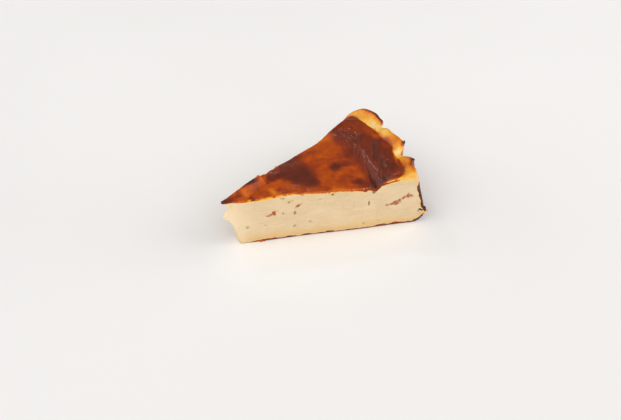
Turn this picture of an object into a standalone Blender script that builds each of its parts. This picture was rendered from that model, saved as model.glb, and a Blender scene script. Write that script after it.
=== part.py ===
"""A wedge of basque cheesecake, standing on its baked base as it was cut.

The slice is one solid: a dense custard whose skin has burnt brown. A box is cut into stations along the slice,
across it and up it, and each vertex is then moved to the slice's form. At every angle across the slice that form is
a patch between four edge curves: the base, the wall that met the tin's paper, the burnt top with its sunken middle
and raised rim, and the tip, which hangs over at the top and bulges where the custard is soft.

Metres, +Z up. +X runs from the tip to the rim. The origin is the middle of the base of the slice's bounding box.
"""

import bmesh
import bpy
import numpy as np
from mathutils import Vector

MM = 0.001

# The cake that the slice was cut from
BASE_RADIUS = 122.6 * MM  # at its widest, just above the rounded base edge
WEDGE_ANGLE = np.radians(38.2)
BASE_ROUNDING = 8.0 * MM
WALL_LEAN = 0.155  # the wall comes in by this share of its rise
FLARE_HEIGHT = 38.0 * MM
FLARE_CURL = 4.5  # the wall only turns out near its top
# How far the rim stands out again at that height, in mm against the angle in degrees
RIM_FLARE = [
    (-19.1, -1.5), (-15.0, -0.2), (-10.5, 2.0), (-7.0, 2.4), (-3.6, 3.8), (0.0, 3.0), (5.0, 3.2), (8.1, 6.4),
    (10.5, 6.6), (13.0, 5.2), (15.5, 3.2), (17.2, 0.5), (19.1, -3.0),
]

# The burnt top, as height above the base against distance from the cake's middle
TOP_PROFILE = [
    (0.0, 32.3), (10.0, 31.6), (25.0, 31.9), (41.0, 32.9), (56.0, 32.0), (74.0, 31.5),
    (86.0, 30.9), (94.0, 31.7), (103.0, 33.4), (112.0, 34.0), (125.0, 34.0),
]
# Height of the rim's crest in mm, against the angle in degrees
RIM_LINE = [
    (-19.1, 37.0), (-15.0, 37.6), (-12.4, 37.4), (-10.0, 36.5), (-7.0, 37.0), (-4.0, 37.3), (1.0, 37.8), (5.0, 37.4),
    (9.0, 37.0), (12.0, 38.6), (15.5, 39.3), (17.5, 37.0), (19.1, 33.9),
]
RIM_BAND = 5.6 * MM  # width of the slope from the top up to the rim's crest
RIM_BAND_AT_FOLD = 3.6 * MM
CREST_ROUNDING = 1.5 * MM

# Folds that the tin's paper pressed into the wall and rim. Angles are in degrees from the slice's middle, positive
# towards the far cut. A fold reaches over width on its far side and then on its near side.
WALL_FOLDS = [
    {"angle": 7.1, "width": (1.2, 3.2), "depth": 2.0, "dip": 2.0, "foot": 0.25},
    {"angle": -6.0, "width": (2.4, 5.4), "depth": 3.8, "dip": 4.0, "foot": 0.15},
    {"angle": 14.2, "width": (2.2, 1.6), "depth": 0.6, "dip": 0.1, "foot": 1.1},
    {"angle": 1.4, "width": (2.0, 2.6), "depth": 0.5, "dip": 0.0, "foot": 1.2},
    {"angle": -14.0, "width": (1.2, 2.6), "depth": 1.0, "dip": 0.5, "foot": 0.8},
]
FOLD_FULL_HEIGHT = 34.0 * MM  # a fold has its full depth from here up

# Creases where the skin sank, each from one point (radius in mm, angle) to another, with its depth at both
TOP_CREASES = [
    {"start": (93.5, -4.0), "end": (92.4, -20.0), "depths": (0.6, 2.9), "width": 4.0},
    {"start": (108.7, 3.9), "end": (101.7, -2.8), "depths": (0.7, 1.0), "width": 3.0},
    {"start": (104.0, -4.8), "end": (101.3, -10.5), "depths": (0.8, 1.0), "width": 3.0},
]
# Low swells of the skin: middle (radius in mm, angle), height, and reach along and across
TOP_SWELLS = [
    {"at": (106.0, -17.5), "height": 1.1, "reach": (6.0, 9.0)},
    {"at": (98.0, -4.0), "height": 0.9, "reach": (4.0, 12.0)},
    {"at": (97.0, 15.0), "height": 0.8, "reach": (5.0, 8.0)},
    {"at": (76.0, 19.0), "height": -1.2, "reach": (17.0, 9.0)},
    {"at": (50.0, 3.0), "height": -0.5, "reach": (12.0, 8.0)},
    {"at": (108.0, 19.0), "height": -1.3, "reach": (12.0, 9.0)},
]
# The skin has lifted along the far cut near the tip, and ends there in a small step
FLAP_LINE = [(0.0, 0.1), (6.0, 1.2), (12.0, 2.5), (18.0, 3.2), (24.0, 3.2), (29.0, 3.1), (32.5, 3.0)]
FLAP = {"to": 32.5 * MM, "depth": 8.5 * MM, "step": 1.2 * MM}

# The tip's outline: height, and how far the custard stands back from the cake's middle there
TIP_OUTLINE = [
    (0.0, 10.0), (7.0, 8.4), (13.7, 6.2), (18.0, 3.6), (20.4, 1.2), (21.8, 0.9),
    (24.0, 3.0), (26.6, 5.6), (28.6, 6.3), (30.2, 4.6), (31.3, 1.3), (32.3, 0.1),
]
TIP_BLUNTNESS = 0.75 * MM  # half the width that the tip keeps
LIP_BLUNTNESS = 0.9 * MM  # how much wider its skin is on the far side
TIP_BLUNT_REACH = 9.0 * MM
TIP_EDGE_ROUNDING = 0.9 * MM

# The cuts are not quite flat
FAR_CUT_HOLLOW = 0.9 * MM
CUT_WAVE = 0.22 * MM

# A burnt scab on the wall's near edge, low down
SCAB = {"height": 8.2 * MM, "reach": 1.9 * MM, "width": 3.0 * MM, "out": 1.5 * MM}

# How finely the box is cut
STATIONS_ACROSS = 50
UP_SPANS = [(0.0, 0.84, 9), (0.84, 1.0, 6)]
ALONG_SPANS = [(0.0, 0.1, 5), (0.1, 0.68, 13), (0.68, 0.94, 18), (0.94, 1.0, 7)]

CUSTARD_COLOUR = (0.79, 0.60, 0.35, 1.0)
BURNT_COLOUR = (0.25, 0.055, 0.018, 1.0)
CUSTARD_ROUGHNESS = 0.45
BURNT_ROUGHNESS = 0.32


def smooth_step(value, low, high):
    t = np.clip((value - low) / (high - low), 0.0, 1.0)
    return t * t * (3.0 - 2.0 * t)


def smooth_curve(points, at):
    """Reads a smooth curve through the points (place, value) at the places given."""
    x, y = (np.array(column, float) for column in zip(*points))
    slopes = np.gradient(y, x)
    at = np.clip(at, x[0], x[-1])
    i = np.clip(np.searchsorted(x, at, side="right") - 1, 0, len(x) - 2)
    span = x[i + 1] - x[i]
    t = (at - x[i]) / span
    rest = 1.0 - t
    return (
        y[i] * (1.0 + 2.0 * t) * rest**2
        + y[i + 1] * (3.0 - 2.0 * t) * t**2
        + slopes[i] * span * t * rest**2
        - slopes[i + 1] * span * t**2 * rest
    )


def profile(points, at):
    """The same for points in millimetres, with places and values in metres."""
    return smooth_curve(points, at / MM) * MM


def fold_shape(fold, angle):
    """How much of a fold is felt at an angle in degrees, from 0 to 1 at its bottom."""
    away = angle - fold["angle"]
    far_side, near_side = fold["width"]
    return 1.0 - smooth_step(np.abs(away), 0.0, np.where(away > 0, far_side, near_side))


def wall_radius(angle, z):
    """Radius of the wall above its rounded foot, with the folds pressed in."""
    flare = smooth_curve(RIM_FLARE, angle) * MM * (z / FLARE_HEIGHT) ** FLARE_CURL
    radius = BASE_RADIUS - WALL_LEAN * np.maximum(z - BASE_ROUNDING, 0.0) + flare
    for fold in WALL_FOLDS:
        depth = fold["foot"] + (fold["depth"] - fold["foot"]) * smooth_step(z, 0.0, FOLD_FULL_HEIGHT)
        radius = radius - depth * MM * fold_shape(fold, angle)
    scab = smooth_step(-angle, np.degrees(WEDGE_ANGLE / 2) - SCAB["width"] / BASE_RADIUS * 57.3, 19.1)
    return radius + SCAB["out"] * scab * np.exp(-(((z - SCAB["height"]) / SCAB["reach"]) ** 2))


def rim_height(angle):
    """Height of the rim's crest, which dips where a fold crosses it."""
    height = smooth_curve(RIM_LINE, angle) * MM
    for fold in WALL_FOLDS:
        height = height - fold["dip"] * MM * fold_shape(fold, angle)
    return height


def crest_radius(angle):
    return wall_radius(angle, rim_height(angle)) - CREST_ROUNDING


def rim_band(angle):
    """Width of the slope inside the crest, narrower at the deepest folds."""
    felt = sum(fold_shape(fold, angle) for fold in WALL_FOLDS[:2])
    return RIM_BAND + (RIM_BAND_AT_FOLD - RIM_BAND) * np.clip(felt, 0.0, 1.0)


def polar_point(radius_mm, degrees):
    return radius_mm * MM * np.cos(np.radians(degrees)), radius_mm * MM * np.sin(np.radians(degrees))


def crease_depth(crease, x, y):
    """Depth of a crease at points of the top: full on its line, and gone at its width."""
    ax, ay = polar_point(*crease["start"])
    bx, by = polar_point(*crease["end"])
    length = (bx - ax) ** 2 + (by - ay) ** 2
    t = np.clip(((x - ax) * (bx - ax) + (y - ay) * (by - ay)) / length, 0.0, 1.0)
    away = np.hypot(x - ax - t * (bx - ax), y - ay - t * (by - ay))
    first, last = crease["depths"]
    return (first + (last - first) * t) * MM * (1.0 - smooth_step(away, 0.0, crease["width"] * MM))


def swell_height(swell, x, y):
    cx, cy = polar_point(*swell["at"])
    turn = np.radians(swell["at"][1])
    along = (x - cx) * np.cos(turn) + (y - cy) * np.sin(turn)
    across = (y - cy) * np.cos(turn) - (x - cx) * np.sin(turn)
    reach_along, reach_across = swell["reach"]
    return swell["height"] * MM * np.exp(-((along / reach_along / MM) ** 2) - (across / reach_across / MM) ** 2)


def flap_height(radius, angle):
    """The skin lifts towards the far cut, and steps down again where it tore."""
    to_cut = radius * np.sin(np.maximum(WEDGE_ANGLE / 2 - np.radians(angle), 0.0))
    across = 1.0 - smooth_step(to_cut, 0.0, FLAP["depth"])
    fall = 1.0 - smooth_step(radius, FLAP["to"] - FLAP["step"], FLAP["to"])
    return profile(FLAP_LINE, radius) * across * fall


def top_height(radius, angle):
    """Height of the burnt top, from the tip to the crest of the rim."""
    x, y = radius * np.cos(np.radians(angle)), radius * np.sin(np.radians(angle))
    height = profile(TOP_PROFILE, radius)
    for swell in TOP_SWELLS:
        height = height + swell_height(swell, x, y)
    for crease in TOP_CREASES:
        height = height - crease_depth(crease, x, y)
    height = height + flap_height(radius, angle)
    crest = crest_radius(angle)
    t = np.clip(1.0 - (crest - radius) / rim_band(angle), 0.0, 1.0)
    return height + (rim_height(angle) - height) * np.sin(t * np.pi / 2)


def base_curve(u, angle, v):
    start = tip_radius(np.zeros_like(u), v)
    end = wall_radius(angle, 0.0 * u) - BASE_ROUNDING
    return start + (end - start) * u, 0.0 * u


def top_curve(u, angle, v):
    start = tip_radius(TIP_OUTLINE[-1][0] * MM + 0.0 * u, v)
    radius = start + (crest_radius(angle) - start) * u
    return radius, top_height(radius, angle)


def tip_radius(z, v):
    """How far the tip stands back from the cake's middle at a height, a little further at its two upright edges."""
    return profile(TIP_OUTLINE, z) + TIP_EDGE_ROUNDING * v**2


def tip_curve(w, angle, v):
    top = top_curve(0.0 * w, angle, v)[1]
    return tip_radius(w * TIP_OUTLINE[-1][0] * MM, v), w * top


def wall_curve(w, angle, v):
    """The wall from the end of the flat base, round its foot, up, and over the crest."""
    foot, head = 0.2, 0.86
    height = rim_height(angle)
    turn = np.clip(w / foot, 0.0, 1.0) * np.pi / 2
    over = np.clip((w - head) / (1.0 - head), 0.0, 1.0) * np.pi / 2
    straight = np.clip((w - foot) / (head - foot), 0.0, 1.0)
    rise = height - BASE_ROUNDING - CREST_ROUNDING
    z = BASE_ROUNDING * (1.0 - np.cos(turn)) + rise * straight + CREST_ROUNDING * np.sin(over)
    inset = BASE_ROUNDING * (1.0 - np.sin(turn)) + CREST_ROUNDING * (1.0 - np.cos(over))
    return wall_radius(angle, z) - inset, z


def section(u, v, w):
    """Radius and height at shares along (u), across (v, -1 to 1) and up (w): a patch between the four edge curves."""
    angle = v * np.degrees(WEDGE_ANGLE / 2)
    none, all_of = 0.0 * u, 0.0 * u + 1.0
    sides = [
        (base_curve(u, angle, v), 1.0 - w),
        (top_curve(u, angle, v), w),
        (tip_curve(w, angle, v), 1.0 - u),
        (wall_curve(w, angle, v), u),
        (base_curve(none, angle, v), -(1.0 - u) * (1.0 - w)),
        (base_curve(all_of, angle, v), -u * (1.0 - w)),
        (top_curve(none, angle, v), -(1.0 - u) * w),
        (top_curve(all_of, angle, v), -u * w),
    ]
    radius = sum(curve[0] * share for curve, share in sides)
    height = sum(curve[1] * share for curve, share in sides)
    return radius, height


def slice_point(u, v, w):
    """The slice's form: where a vertex of the cut box goes, as arrays x, y and z."""
    radius, z = section(u, v, w)
    angle = v * WEDGE_ANGLE / 2
    lip = LIP_BLUNTNESS * smooth_step(z, 28.0 * MM, 31.0 * MM) * np.clip(v, 0.0, 1.0)
    blunt = (TIP_BLUNTNESS * v + lip) * np.exp(-radius / TIP_BLUNT_REACH)
    hollow = -FAR_CUT_HOLLOW * np.clip(v, 0.0, 1.0) ** 8 * np.sin(np.clip(radius / BASE_RADIUS, 0.0, 1.0) * np.pi) ** 2
    wave = CUT_WAVE * v**9 * np.sin(radius / MM * 0.11 + z / MM * 0.21 + v)
    return radius * np.cos(angle), radius * np.sin(angle) + blunt + hollow + wave, z


def stations_in(spans):
    """Places of the cuts in spans of their own number of steps, closer together where the form turns."""
    return sorted({low + (high - low) * i / count for low, high, count in spans for i in range(count + 1)})


def cut_box(name, stations):
    """A unit box cut by planes at the stations given for X, Y and Z."""
    bm = bmesh.new()
    bmesh.ops.create_cube(bm, size=1.0)
    bmesh.ops.translate(bm, vec=(0.5, 0.5, 0.5), verts=bm.verts)
    for axis, places in enumerate(stations):
        normal = Vector((0.0, 0.0, 0.0))
        normal[axis] = 1.0
        for place in places[1:-1]:
            geometry = bm.verts[:] + bm.edges[:] + bm.faces[:]
            bmesh.ops.bisect_plane(bm, geom=geometry, dist=1e-7, plane_co=normal * place, plane_no=normal)
    mesh = bpy.data.meshes.new(name)
    bm.to_mesh(mesh)
    bm.free()
    return mesh


def join_base(bm):
    """The base is one flat face, whose inner edges have no work to do."""
    flat = [face for face in bm.faces if all(abs(vert.co.z) < 1e-7 for vert in face.verts)]
    bmesh.ops.dissolve_faces(bm, faces=flat)


def share_of_crust(centres, normals, apex):
    """Which faces are burnt skin: the top, the wall and the base, but not the two cuts or the tip."""
    radius = np.hypot(centres[:, 0] + apex.x, centres[:, 1] + apex.y)
    sideways = np.abs(normals[:, 2]) < 0.5
    on_wall = radius > BASE_RADIUS - 9.0 * MM
    across = np.abs(normals[:, 1]) > 0.7
    return ~sideways | (on_wall & ~across)


def plain_material(name, colour, roughness):
    material = bpy.data.materials.new(name)
    material.use_nodes = True
    shader = material.node_tree.nodes["Principled BSDF"]
    shader.inputs["Base Color"].default_value = colour
    shader.inputs["Roughness"].default_value = roughness
    shader.inputs["Metallic"].default_value = 0.0
    material.diffuse_color = colour
    return material


def make_slice():
    """The whole slice as one closed mesh, with its bounding box centred over the origin."""
    across = [i / STATIONS_ACROSS for i in range(STATIONS_ACROSS + 1)]
    mesh = cut_box("cheesecake_slice", [stations_in(ALONG_SPANS), across, stations_in(UP_SPANS)])

    shares = np.empty(len(mesh.vertices) * 3, np.float32)
    mesh.vertices.foreach_get("co", shares)
    u, v, w = shares.astype(float).reshape(-1, 3).T
    points = np.stack(slice_point(u, 2.0 * v - 1.0, w), axis=1)
    middle = (points.min(axis=0) + points.max(axis=0)) / 2
    middle[2] = 0.0
    mesh.vertices.foreach_set("co", (points - middle).astype(np.float32).ravel())

    bm = bmesh.new()
    bm.from_mesh(mesh)
    join_base(bm)
    bmesh.ops.recalc_face_normals(bm, faces=bm.faces)
    bm.to_mesh(mesh)
    bm.free()

    mesh.materials.append(plain_material("custard", CUSTARD_COLOUR, CUSTARD_ROUGHNESS))
    mesh.materials.append(plain_material("burnt_skin", BURNT_COLOUR, BURNT_ROUGHNESS))
    centres = np.array([face.center for face in mesh.polygons])
    normals = np.array([face.normal for face in mesh.polygons])
    burnt = share_of_crust(centres, normals, Vector(middle))
    mesh.polygons.foreach_set("material_index", burnt.astype(np.int32))
    mesh.shade_smooth()
    mesh.set_sharp_from_angle(angle=np.radians(40.0))
    mesh.update()

    cake = bpy.data.objects.new("cheesecake_slice", mesh)
    bpy.context.scene.collection.objects.link(cake)
    return cake


def main():
    for obj in list(bpy.data.objects):
        bpy.data.objects.remove(obj, do_unlink=True)
    make_slice()


main()
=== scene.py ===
# A slice of basque cheesecake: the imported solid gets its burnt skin, cut custard, folded rim and crumbs.
# Lengths are in millimetres and angles in degrees. A radius is counted from the middle of the cake that the
# slice was cut from, and an angle from the slice's middle line, positive towards the far cut.
import math
from types import SimpleNamespace

import bmesh
import bpy
import numpy as np
from mathutils import Matrix, Vector


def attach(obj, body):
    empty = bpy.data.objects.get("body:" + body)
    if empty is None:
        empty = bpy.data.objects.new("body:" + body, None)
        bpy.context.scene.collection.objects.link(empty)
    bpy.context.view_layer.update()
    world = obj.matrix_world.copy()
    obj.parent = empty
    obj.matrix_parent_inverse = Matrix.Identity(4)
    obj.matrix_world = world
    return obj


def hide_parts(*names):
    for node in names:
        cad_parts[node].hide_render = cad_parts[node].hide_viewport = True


print("loading the packed slice")
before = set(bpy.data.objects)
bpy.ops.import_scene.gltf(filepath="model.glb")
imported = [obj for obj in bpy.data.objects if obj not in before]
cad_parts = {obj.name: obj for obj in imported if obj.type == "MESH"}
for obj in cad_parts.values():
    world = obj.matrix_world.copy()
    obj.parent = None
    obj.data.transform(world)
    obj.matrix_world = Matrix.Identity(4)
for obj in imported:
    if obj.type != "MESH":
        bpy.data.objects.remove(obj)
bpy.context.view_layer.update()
mm = 0.001

form = {
    "halfAngle": 19.1,
    "baseRadius": 122.6,
    "baseRounding": 8.0,
    "arcPerDegree": 2.1,  # along the wall
    "wallLean": 0.155,
    "flareHeight": 38.0,
    "flareCurl": 4.5,
    # how far the rim stands out, against the angle
    "rimFlare": [
        (-19.1, -1.5), (-15, -0.2), (-10.5, 2), (-7, 2.4), (-3.6, 3.8), (0, 3), (5, 3.2), (8.1, 6.4),
        (10.5, 6.6), (13, 5.2), (15.5, 3.2), (17.2, 0.5), (19.1, -3),
    ],
    # height of the rim's crest, against the angle
    "rimLine": [
        (-19.1, 37), (-15, 37.6), (-12.4, 37.4), (-10, 36.5), (-7, 37), (-4, 37.3), (1, 37.8), (5, 37.4),
        (9, 37), (12, 38.6), (15.5, 39.3), (17.5, 37), (19.1, 33.9),
    ],
    "rimBand": 5.6,
    "rimBandAtFold": 3.6,
    "rimSoftStart": 0.2,
    "crestRounding": 1.5,
    # height of the burnt top, against the radius
    "topProfile": [
        (0, 32.3), (10, 31.6), (25, 31.9), (41, 32.9), (56, 32), (74, 31.5), (86, 30.9), (94, 31.7),
        (103, 33.4), (112, 34), (125, 34),
    ],
    # the tip's outline: height, and how far it stands back
    "tipOutline": [
        (0, 10), (7, 8.4), (13.7, 6.2), (18, 3.6), (20.4, 1.2), (21.8, 0.9), (24, 3), (26.6, 5.6),
        (28.6, 6.3), (30.2, 4.6), (31.3, 1.3), (32.3, 0.1),
    ],
    "tipBluntness": 0.75,
    "tipBluntReach": 9.0,
    "tipEdgeRounding": 0.9,
    "lip": {"bluntness": 0.9, "from": 28.0, "to": 31.0},
    "farCutHollow": 0.9,
    "cutWave": {"height": 0.22, "along": 0.11, "up": 0.21},
    "scab": {"height": 8.2, "reach": 1.9, "width": 3.0, "out": 1.5},
    # the skin lifted along the far cut near the tip: height against the radius, up to a small step
    "flap": {
        "line": [
            (0, 0.1), (6, 1.2), (12, 2.5), (18, 3.2), (24, 3.2), (29, 3.1), (32.5, 3),
        ],
        "to": 32.5,
        "depth": 8.5,
        "step": 1.2,
    },
    # folds that the baking paper pressed into the wall, the deep ones first; widths on the far and near side
    "folds": [
        {"angle": 7.1, "width": (1.2, 3.2), "depth": 2.0, "dip": 2.0, "foot": 0.25},
        {"angle": -6.0, "width": (2.4, 5.4), "depth": 3.8, "dip": 4.0, "foot": 0.15},
        {"angle": 14.2, "width": (2.2, 1.6), "depth": 0.6, "dip": 0.1, "foot": 1.1},
        {"angle": 1.4, "width": (2.0, 2.6), "depth": 0.5, "dip": 0.0, "foot": 1.2},
        {"angle": -14.0, "width": (1.2, 2.6), "depth": 1.0, "dip": 0.5, "foot": 0.8},
    ],
    "deepFolds": 2,
    "foldFullHeight": 34.0,
    # creases of the skin, from one (radius, angle) to another
    "creases": [
        {"start": (93.5, -4.0), "end": (92.4, -20.0), "depths": (0.6, 2.9), "width": 4.0},
        {"start": (108.7, 3.9), "end": (101.7, -2.8), "depths": (0.7, 1.0), "width": 3.0},
        {"start": (104.0, -4.8), "end": (101.3, -10.5), "depths": (0.8, 1.0), "width": 3.0},
    ],
    # narrow clefts at the bottom of the creases: x, y and half the width there
    "clefts": [
        {"depth": 0.8, "path": [
            (93.1, -7.4, 0.3), (92.6, -11, 0.5), (92.1, -13.4, 0.6), (91, -16, 0.8), (90.4, -18.6, 0.8),
            (89.5, -21.6, 1.1), (89, -24.6, 1.1), (88.3, -27.5, 0.9), (87.7, -29.2, 0.5),
        ]},
        {"depth": 0.45, "path": [
            (109.4, 5.2, 0.2), (107.6, 3.6, 0.4), (105.4, 1.9, 0.45), (103.4, -1.8, 0.5), (101.6, -4.4, 0.5),
            (99.6, -7.4, 0.4), (97.9, -10.4, 0.2),
        ]},
        {"depth": 0.4, "path": [
            (105, -9, 0.2), (102.4, -12.6, 0.4), (100.6, -16, 0.5), (99.2, -18.8, 0.45), (97.8, -21, 0.2),
        ]},
        {"depth": 0.4, "path": [(98.6, 15.6, 0.5), (98.8, 13.0, 0.7), (99.2, 11.0, 0.3)]},
        {"depth": 0.35, "path": [(104.0, 20.0, 0.3), (103.4, 24.0, 0.5), (104.4, 28.0, 0.3)]},
    ],
    "cleftFullWidth": 0.7,
    "swells": [
        {"at": (106.0, -17.5), "height": 1.1, "reach": (6.0, 9.0)},
        {"at": (98.0, -4.0), "height": 0.9, "reach": (4.0, 12.0)},
        {"at": (97.0, 15.0), "height": 0.8, "reach": (5.0, 8.0)},
        {"at": (76.0, 19.0), "height": -1.2, "reach": (17.0, 9.0)},
        {"at": (50.0, 3.0), "height": -0.5, "reach": (12.0, 8.0)},
        {"at": (108.0, 19.0), "height": -1.3, "reach": (12.0, 9.0)},
    ],
}


def smoothStep(value, low, high):
    t = np.clip((value - low) / (high - low), 0.0, 1.0)
    return t * t * (3.0 - 2.0 * t)


def fade(distance, reach):
    return 1.0 - smoothStep(distance, 0.0, reach)


def window(value, start, full, last, end):
    # 1 between full and last, and 0 outside start and end
    return smoothStep(value, start, full) * (1.0 - smoothStep(value, last, end))


def toward(level, target, share):
    return level + (target - level) * share


def mound(a, b):
    return np.exp(-(a**2) - b**2)


def smoothCurve(points, at):
    x, y = (np.array(column, float) for column in zip(*points))
    slopes = np.gradient(y, x)
    at = np.clip(at, x[0], x[-1])
    i = np.clip(np.searchsorted(x, at, side="right") - 1, 0, len(x) - 2)
    span = x[i + 1] - x[i]
    t = (at - x[i]) / span
    rest = 1.0 - t
    ends = y[i] * (1.0 + 2.0 * t) * rest**2 + y[i + 1] * (3.0 - 2.0 * t) * t**2
    return ends + slopes[i] * span * t * rest**2 - slopes[i + 1] * span * t**2 * rest


# smooth noise between -1 and 1, from one seeded table
noiseTable = np.random.default_rng(4).random(8192) * 2.0 - 1.0
noiseHash = (73856093, 19349663, 83492791, 2654435)
octaveScale, octaveShift = 2.03, 7.3


def lump(x, y, z, seed):
    cells = [np.floor(a).astype(np.int64) for a in (x, y, z)]
    parts = [smoothStep(a - c, 0.0, 1.0) for a, c in zip((x, y, z), cells)]
    total = 0.0
    for corner in range(8):
        bits = [(corner >> k) & 1 for k in range(3)]
        weight = 1.0
        for part, bit in zip(parts, bits):
            weight = weight * (part if bit else 1.0 - part)
        numbers = [c + b for c, b in zip(cells, bits)] + [seed]
        i, j, k, s = (n * factor for n, factor in zip(numbers, noiseHash))
        total = total + weight * noiseTable[(i ^ j ^ k ^ s) & (len(noiseTable) - 1)]
    return total


def rough(x, y, z, size, seed, octaves=3):
    total, strength, weights = 0.0, 1.0, 0.0
    for octave in range(octaves):
        scale = octaveScale**octave / size
        total = total + strength * lump(x * scale + octaveShift * octave, y * scale, z * scale, seed + octave)
        weights += strength
        strength *= 0.5
    return total / weights


def roughPlane(x, y, size, seed, octaves=3):
    return rough(x, y, 0.0 * x, size, seed, octaves)


def ridged(x, y, size, seed, octaves=2):
    return 1.0 - 2.0 * np.abs(roughPlane(x, y, size, seed, octaves))


def wandered(x, y, reach, size, seeds, octaves=2):
    # the same place, moved about by noise
    dx, dy = (reach * roughPlane(x, y, size, seed, octaves) for seed in seeds)
    return x + dx, y + dy


def spot(radius, angle):
    return radius * np.cos(np.radians(angle)), radius * np.sin(np.radians(angle))


def turned(dx, dy, tilt):
    # an offset counted along and across a tilted line
    cosine, sine = math.cos(math.radians(tilt)), math.sin(math.radians(tilt))
    return dx * cosine + dy * sine, dy * cosine - dx * sine


def awayFromLine(x, y, start, end):
    # distance from the line between two spots, and how far along it
    (ax, ay), (bx, by) = start, end
    t = np.clip(((x - ax) * (bx - ax) + (y - ay) * (by - ay)) / ((bx - ax) ** 2 + (by - ay) ** 2), 0.0, 1.0)
    return np.hypot(x - ax - t * (bx - ax), y - ay - t * (by - ay)), t


def foldShape(fold, angle):
    away = angle - fold["angle"]
    farSide, nearSide = fold["width"]
    return fade(np.abs(away), np.where(away > 0, farSide, nearSide))


def deepFoldShare(angle):
    return np.clip(sum(foldShape(fold, angle) for fold in form["folds"][:form["deepFolds"]]), 0.0, 1.0)


def wallRadius(angle, z):
    lean = form["wallLean"] * np.maximum(z - form["baseRounding"], 0.0)
    curl = np.clip(z / form["flareHeight"], 0.0, 2.0) ** form["flareCurl"]
    radius = form["baseRadius"] - lean + smoothCurve(form["rimFlare"], angle) * curl
    for fold in form["folds"]:
        depth = toward(fold["foot"], fold["depth"], smoothStep(z, 0.0, form["foldFullHeight"]))
        radius = radius - depth * foldShape(fold, angle)
    scab, edge = form["scab"], form["halfAngle"]
    spread = smoothStep(-angle, edge - math.degrees(scab["width"] / form["baseRadius"]), edge)
    return radius + scab["out"] * spread * np.exp(-(((z - scab["height"]) / scab["reach"]) ** 2))


def rimHeight(angle):
    dips = sum(fold["dip"] * foldShape(fold, angle) for fold in form["folds"])
    return smoothCurve(form["rimLine"], angle) - dips


def crestRadius(angle):
    return wallRadius(angle, rimHeight(angle)) - form["crestRounding"]


def creaseDepth(x, y):
    wx, wy = wandered(x, y, 0.9, 5.0, (13, 14))
    deep = 0.0
    for crease in form["creases"]:
        away, t = awayFromLine(wx, wy, spot(*crease["start"]), spot(*crease["end"]))
        deep = deep + toward(*crease["depths"], t) * fade(away, crease["width"])
    return deep


def cleftShape(x, y):
    # 1 at the bottom of a cleft, and how deep it is there
    wx, wy = wandered(x, y, 0.35, 2.4, (11, 12))
    shape, depth = 0.0 * x, 0.0 * x
    for cleft in form["clefts"]:
        for (ax, ay, first), (bx, by, last) in zip(cleft["path"], cleft["path"][1:]):
            away, t = awayFromLine(wx, wy, (ax, ay), (bx, by))
            width = toward(first, last, t)
            here = fade(away / width, 1.0)
            shape = np.maximum(shape, here)
            depth = np.maximum(depth, here * cleft["depth"] * np.minimum(1.0, width / form["cleftFullWidth"]))
    return shape, depth


def swellHeight(swell, x, y):
    cx, cy = spot(*swell["at"])
    along, across = turned(x - cx, y - cy, swell["at"][1])
    reachAlong, reachAcross = swell["reach"]
    return swell["height"] * mound(along / reachAlong, across / reachAcross)


def flapHeight(radius, angle):
    flap = form["flap"]
    toCut = radius * np.sin(np.radians(np.maximum(form["halfAngle"] - angle, 0.0)))
    fall = 1.0 - smoothStep(radius, flap["to"] - flap["step"], flap["to"])
    return smoothCurve(flap["line"], radius) * fade(toCut, flap["depth"]) * fall


def topHeight(radius, angle):
    x, y = spot(radius, angle)
    swelling = sum(swellHeight(swell, x, y) for swell in form["swells"])
    height = smoothCurve(form["topProfile"], radius) + swelling
    height = height - creaseDepth(x, y) + flapHeight(radius, angle)
    # the rim rises out of it over a band, which is narrower at the deep folds
    band = toward(form["rimBand"], form["rimBandAtFold"], deepFoldShare(angle))
    t = np.clip(1.0 - (crestRadius(angle) - radius) / band, 0.0, 1.0)
    rise = np.sin(t * np.pi / 2) * (1.0 - np.exp(-((t / form["rimSoftStart"]) ** 2)))
    return toward(height, rimHeight(angle), rise)


def tipRadius(z, v):
    return smoothCurve(form["tipOutline"], z) + form["tipEdgeRounding"] * v**2


def baseCurve(u, angle, v):
    start = tipRadius(0.0 * u, v)
    return toward(start, wallRadius(angle, 0.0 * u) - form["baseRounding"], u), 0.0 * u


def topCurve(u, angle, v):
    radius = toward(tipRadius(form["tipOutline"][-1][0] + 0.0 * u, v), crestRadius(angle), u)
    return radius, topHeight(radius, angle)


def tipCurve(w, angle, v):
    return tipRadius(w * form["tipOutline"][-1][0], v), w * topCurve(0.0 * w, angle, v)[1]


def wallCurve(w, angle, v):
    foot, head = 0.2, 0.86  # shares of the wall's stations in its rounded foot, and below its crest
    low, crown = form["baseRounding"], form["crestRounding"]
    turn = np.clip(w / foot, 0.0, 1.0) * np.pi / 2
    over = np.clip((w - head) / (1.0 - head), 0.0, 1.0) * np.pi / 2
    straight = np.clip((w - foot) / (head - foot), 0.0, 1.0)
    z = low * (1.0 - np.cos(turn)) + (rimHeight(angle) - low - crown) * straight + crown * np.sin(over)
    return wallRadius(angle, z) - low * (1.0 - np.sin(turn)) - crown * (1.0 - np.cos(over)), z


def section(u, v, w):
    # radius and height of a station: a patch between the base, the top, the tip and the wall
    angle = v * form["halfAngle"]
    none, full = 0.0 * u, 0.0 * u + 1.0
    sides = [
        (baseCurve(u, angle, v), 1.0 - w),
        (topCurve(u, angle, v), w),
        (tipCurve(w, angle, v), 1.0 - u),
        (wallCurve(w, angle, v), u),
        (baseCurve(none, angle, v), -(1.0 - u) * (1.0 - w)),
        (baseCurve(full, angle, v), -u * (1.0 - w)),
        (topCurve(none, angle, v), -(1.0 - u) * w),
        (topCurve(full, angle, v), -u * w),
    ]
    return [sum(curve[k] * share for curve, share in sides) for k in (0, 1)]


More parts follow.
